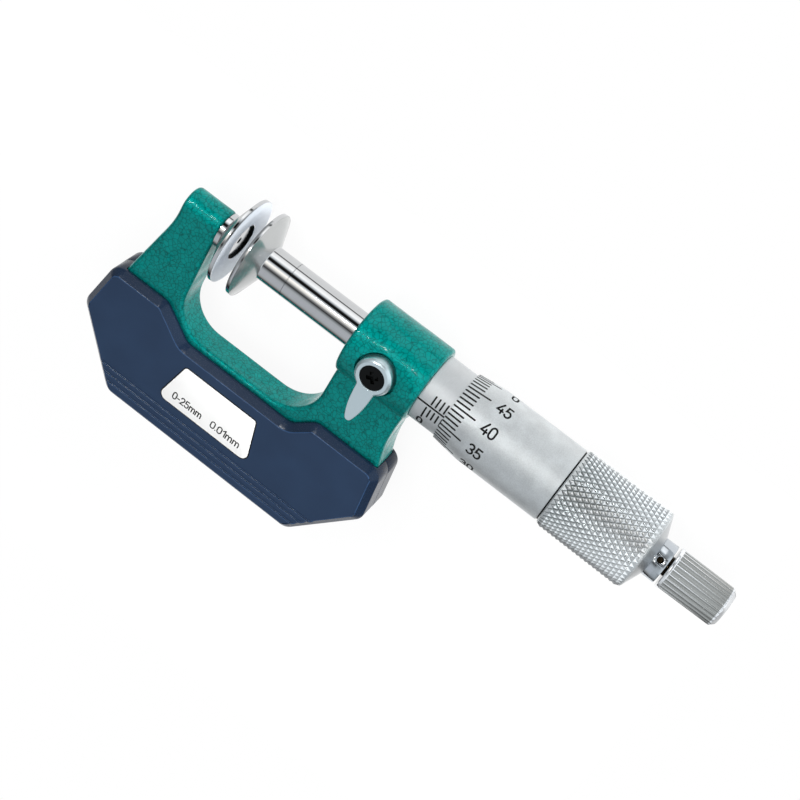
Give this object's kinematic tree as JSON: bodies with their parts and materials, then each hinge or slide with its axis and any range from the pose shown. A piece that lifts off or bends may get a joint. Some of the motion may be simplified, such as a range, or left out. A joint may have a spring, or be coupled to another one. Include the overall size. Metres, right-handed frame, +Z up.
{
  "type": "disc micrometer",
  "caption": "Disc micrometer with a U-shaped frame, hand covers, thimble with ratchet stop and lock lever; flanged discs measure tooth spans and narrow webs.",
  "frame": {"origin": "centre of the bounding box's base, on the plane that the two discs rest on when the tool lies on its back", "axes": "+X along the spindle from the anvil to the ratchet, +Y towards the open side of the U, +Z up out of the front face"},
  "size_m": [0.144, 0.06, 0.02],
  "materials": {
    "frame_enamel": "glossy crackle enamel on cast iron",
    "cover_plastic": "matte moulded plastic",
    "plate_white": "white enamelled plate",
    "polished_steel": "finely ground and polished",
    "plain_steel": "machined",
    "satin_chrome": "satin chrome plating",
    "bright_chrome": "bright chrome plating",
    "satin_nickel": "satin nickel plating",
    "black_steel": "black oxide",
    "lock_brass": "machined brass"
  },
  "bodies": {
    "frame_body": {"frame": "frame_enamel", "front_cover": "cover_plastic", "rear_cover": "cover_plastic", "cover_screws": "black_steel", "range_plate": "plate_white", "anvil_disc": "polished_steel", "stem": "plain_steel", "scale_sleeve": "satin_chrome", "adjusting_nut": "plain_steel", "guide_key": "plain_steel", "lock_shoe": "lock_brass"},
    "spindle_body": {"spindle": "polished_steel", "spindle_disc": "polished_steel", "coupling_ring": "plain_steel", "thrust_ball": "plain_steel"},
    "thimble_body": {"measuring_screw": "plain_steel", "thimble": "satin_chrome", "thimble_grip": "satin_chrome", "ratchet_collar": "bright_chrome", "ratchet_wheel": "plain_steel", "ratchet_retainer": "plain_steel"},
    "ratchet_body": {"ratchet_knob": "bright_chrome", "ratchet_clutch": "plain_steel", "ratchet_spring": "plain_steel"},
    "lock_body": {"lock_lever": "satin_nickel", "lock_stud": "plain_steel", "lock_screw": "black_steel"}
  },
  "joints": [
    {"name": "spindle_feed", "type": "slide", "parent": "frame_body", "child": "spindle_body", "axis": [1, 0, 0], "range_m": [-0.00387, 0.02113]},
    {"name": "thimble_turn", "type": "hinge", "parent": "spindle_body", "child": "thimble_body", "pos_m": [0.01123, 0.02, 0.01], "axis": [1, 0, 0], "range_deg": [-2787, 15214]},
    {"name": "ratchet_turn", "type": "hinge", "parent": "thimble_body", "child": "ratchet_body", "pos_m": [0.06123, 0.02, 0.01], "axis": [1, 0, 0], "continuous": true},
    {"name": "lock_turn", "type": "hinge", "parent": "frame_body", "child": "lock_body", "pos_m": [-0.00977, 0.02, 0.018], "axis": [0, 0, 1], "range_deg": [-60, 0]}
  ],
  "couplings": [
    {"joint": "thimble_turn", "follows": "spindle_feed", "rad_per_m": 12566}
  ]
}
